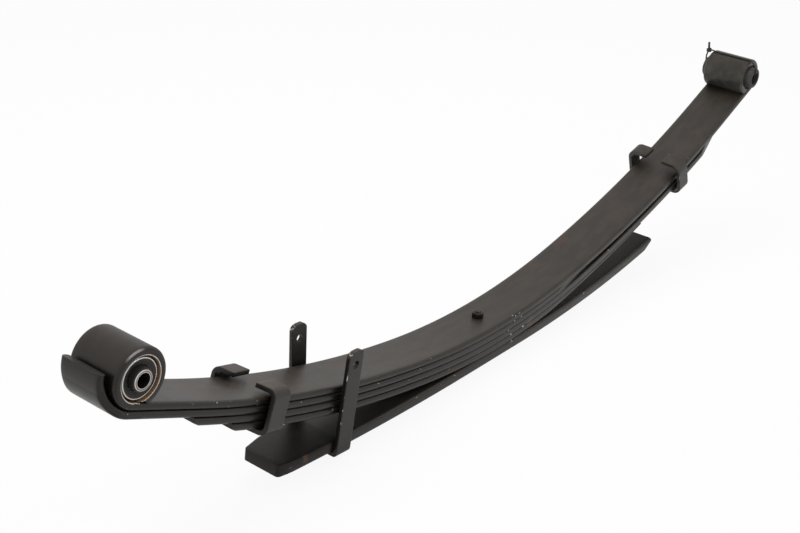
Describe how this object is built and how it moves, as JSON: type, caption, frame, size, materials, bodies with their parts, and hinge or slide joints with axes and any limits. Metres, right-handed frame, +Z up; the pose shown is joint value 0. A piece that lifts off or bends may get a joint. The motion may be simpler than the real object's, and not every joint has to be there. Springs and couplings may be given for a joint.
{
  "type": "leaf spring",
  "caption": "Semi-elliptic leaf spring with upturned rolled eyes, rubber bushes, rebound clips and a flat helper leaf under the pack, for a pickup's rear axle",
  "frame": {"origin": "On the centre bolt's axis, at the underside of the helper leaf, where the axle seat touches it", "axes": "+X along the spring to the rear eye, +Y to the far side, +Z up out of the main leaf"},
  "size_m": [1.1756, 0.0818, 0.2458],
  "materials": {
    "black_paint": "satin",
    "bare_steel": "machined",
    "bush_rubber": "matte"
  },
  "bodies": {
    "spring_pack": {"main_leaf": "black_paint", "second_leaf": "black_paint", "third_leaf": "black_paint", "fourth_leaf": "black_paint", "helper_leaf": "black_paint", "centre_bolt": "black_paint", "centre_nut": "black_paint", "helper_clip": "black_paint", "helper_clip_rivet": "black_paint"},
    "front_end": {"front_clip": "black_paint", "front_clip_rivet": "black_paint", "front_bush_outer_sleeve": "bare_steel", "front_bush_rubber": "bush_rubber"},
    "rear_end": {"rear_clip": "black_paint", "rear_clip_rivet": "black_paint", "rear_bush_rubber_near": "bush_rubber", "rear_bush_rubber_far": "bush_rubber"},
    "front_sleeve": {"front_bush_inner_sleeve": "bare_steel"},
    "rear_sleeve": {"rear_bush_inner_sleeve": "bare_steel"}
  },
  "joints": [
    {"name": "front_flex", "type": "hinge", "parent": "spring_pack", "child": "front_end", "pos_m": [-0.2, 0, 0.051], "axis": [0, -1, 0], "range_deg": [-2, 13], "stiffness_Nm_per_rad": 2050, "deforming": ["main_leaf", "second_leaf", "third_leaf", "fourth_leaf"]},
    {"name": "rear_flex", "type": "hinge", "parent": "spring_pack", "child": "rear_end", "pos_m": [0.2, 0, 0.051], "axis": [0, 1, 0], "range_deg": [-2, 13], "stiffness_Nm_per_rad": 2480, "deforming": ["main_leaf", "second_leaf", "third_leaf", "fourth_leaf"]},
    {"name": "front_sleeve_twist", "type": "hinge", "parent": "front_end", "child": "front_sleeve", "pos_m": [-0.53752, 0, 0.20401], "axis": [0, -1, 0], "range_deg": [-20, 20], "stiffness_Nm_per_rad": 40},
    {"name": "rear_sleeve_twist", "type": "hinge", "parent": "rear_end", "child": "rear_sleeve", "pos_m": [0.57171, 0, 0.21332], "axis": [0, 1, 0], "range_deg": [-20, 20], "stiffness_Nm_per_rad": 30}
  ]
}
